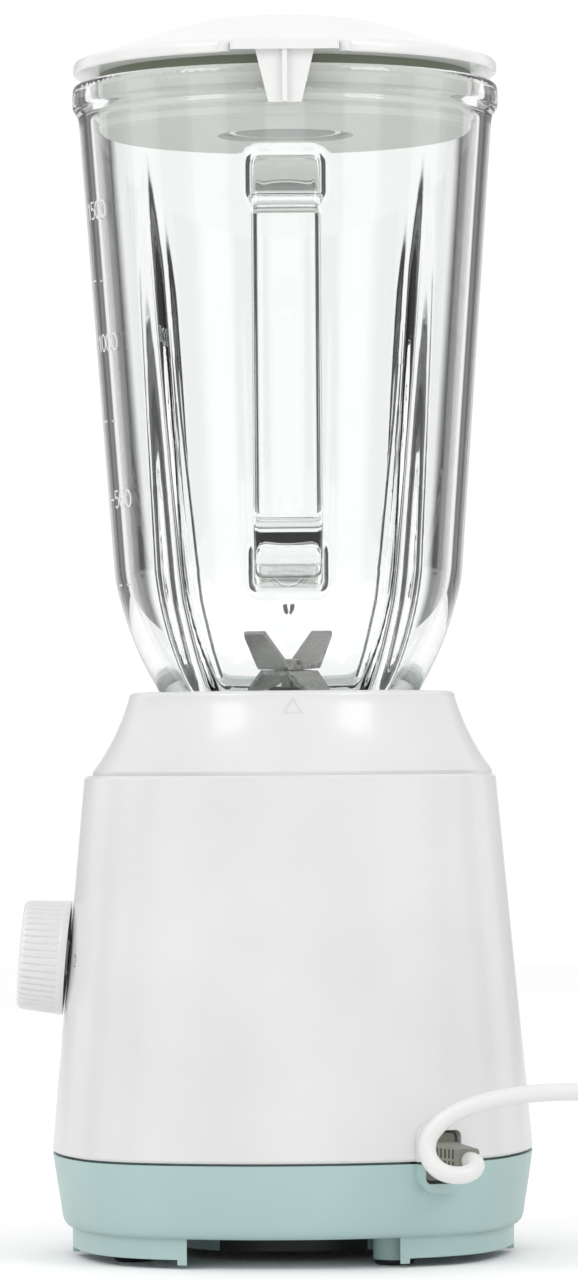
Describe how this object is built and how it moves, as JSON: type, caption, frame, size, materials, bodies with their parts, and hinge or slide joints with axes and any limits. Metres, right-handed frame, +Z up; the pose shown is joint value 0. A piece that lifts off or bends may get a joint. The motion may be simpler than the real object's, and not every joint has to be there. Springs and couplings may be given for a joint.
{
  "type": "countertop blender",
  "caption": "Countertop blender: lidded glass jar with side handle and blade unit on a tapered motor base with a rotary knob, base skirts and a coiled mains lead.",
  "frame": {"origin": "centre of the footprint's bounding box on the table, leaving out the free mains lead and plug; the motor and jar axis stands 5.85 mm towards +X and 15.50 mm towards +Y of it", "axes": "+Z up from the table, -X towards the user (knob side), -Y the side with the jar handle, +Y the side with the pouring lip"},
  "size_m": [0.2761, 0.189, 0.4054],
  "materials": {
    "white_plastic": "injection-moulded ABS, satin with a glossier collar",
    "lid_white": "glossy moulded polypropylene",
    "sea_green_plastic": "pale sea-green ABS with a fine satin texture",
    "black_plastic": "matt black nylon",
    "phenolic": "dark moulded phenolic",
    "grey_silicone": "soft taupe-grey silicone",
    "black_rubber": "matt rubber",
    "boot_rubber": "olive-grey flexible PVC",
    "cord_white": "smooth white PVC sheath",
    "glass": "clear pressed soda-lime glass",
    "stainless": "ground stainless steel",
    "steel": "zinc-plated steel",
    "lamination": "stacked electrical steel",
    "aluminium": "die-cast aluminium",
    "copper": "enamelled copper wire",
    "brass": "plain brass",
    "bronze": "sintered bronze",
    "carbon": "pressed carbon",
    "board": "paper-phenolic circuit board",
    "film_case": "yellow film-capacitor case",
    "wire_sleeve": "PVC wire insulation"
  },
  "bodies": {
    "base": {"housing": "white_plastic", "base_tray": "sea_green_plastic", "motor_vent": "black_plastic", "rubber_feet": "black_rubber", "tray_screws": "steel", "shaft_seal": "black_rubber", "rotary_switch": "phenolic", "switch_nut": "steel", "interlock_guide": "black_plastic", "interlock_switch": "black_plastic", "control_board": "board", "suppression_capacitor": "film_case", "terminal_block": "phenolic", "cord_clamp": "black_plastic", "clamp_screws": "steel", "internal_wires": "wire_sleeve", "motor_stator": "lamination", "field_coils": "copper", "motor_bracket_top": "aluminium", "motor_bracket_low": "aluminium", "motor_bearings": "steel", "brush_holders": "brass", "carbon_brushes": "carbon", "brush_springs": "steel", "motor_bolts": "steel", "motor_grommets": "black_rubber", "mount_screws": "steel", "cord_boot": "boot_rubber", "cord_inner": "cord_white", "cord_lead": "cord_white", "cord_coil": "cord_white", "cord_tail": "cord_white", "cord_tie": "black_plastic", "plug_body": "cord_white", "plug_pins": "brass"},
    "rotor": {"motor_shaft": "steel", "armature_core": "lamination", "armature_windings": "copper", "commutator": "copper", "cooling_fan": "black_plastic", "drive_coupling": "black_plastic"},
    "knob": {"control_knob": "lid_white", "knob_spindle": "phenolic"},
    "interlock": {"interlock_pin": "black_plastic", "interlock_spring": "steel"},
    "jar": {"jar_glass": "glass", "jar_base": "lid_white", "jar_gasket": "grey_silicone", "blade_carrier": "lid_white", "spindle_bushes": "bronze", "spindle_seal": "black_rubber"},
    "blades": {"blade_spindle": "stainless", "lower_blade": "stainless", "upper_blade": "stainless", "blade_washers": "stainless", "blade_nut": "stainless", "jar_coupling": "black_plastic"},
    "lid": {"lid": "lid_white", "lid_seal": "grey_silicone"},
    "cap": {"filler_cap": "lid_white"}
  },
  "joints": [
    {"name": "knob_turn", "type": "hinge", "parent": "base", "child": "knob", "pos_m": [-0.06742, 0.0155, 0.097], "axis": [-0.9959, 0, 0.0908], "range_deg": [-45, 90]},
    {"name": "motor_spin", "type": "hinge", "parent": "base", "child": "rotor", "pos_m": [0.00585, 0.0155, 0.09], "axis": [0, 0, 1], "continuous": true},
    {"name": "jar_lift", "type": "slide", "parent": "base", "child": "jar", "axis": [0, 0, 1], "range_m": [0, 0.05]},
    {"name": "blade_spin", "type": "hinge", "parent": "jar", "child": "blades", "pos_m": [0.00585, 0.0155, 0.19], "axis": [0, 0, 1], "continuous": true},
    {"name": "lid_lift", "type": "slide", "parent": "jar", "child": "lid", "axis": [0, 0, 1], "range_m": [0, 0.03]},
    {"name": "cap_lift", "type": "slide", "parent": "lid", "child": "cap", "axis": [0, 0, 1], "range_m": [0, 0.04]},
    {"name": "interlock_rise", "type": "slide", "parent": "base", "child": "interlock", "axis": [0, 0, 1], "range_m": [0, 0.003], "deforming": ["interlock_spring"]}
  ],
  "couplings": [
    {"joint": "blade_spin", "follows": "motor_spin", "ratio": 1},
    {"joint": "interlock_rise", "follows": "jar_lift", "ratio": 0.06}
  ]
}
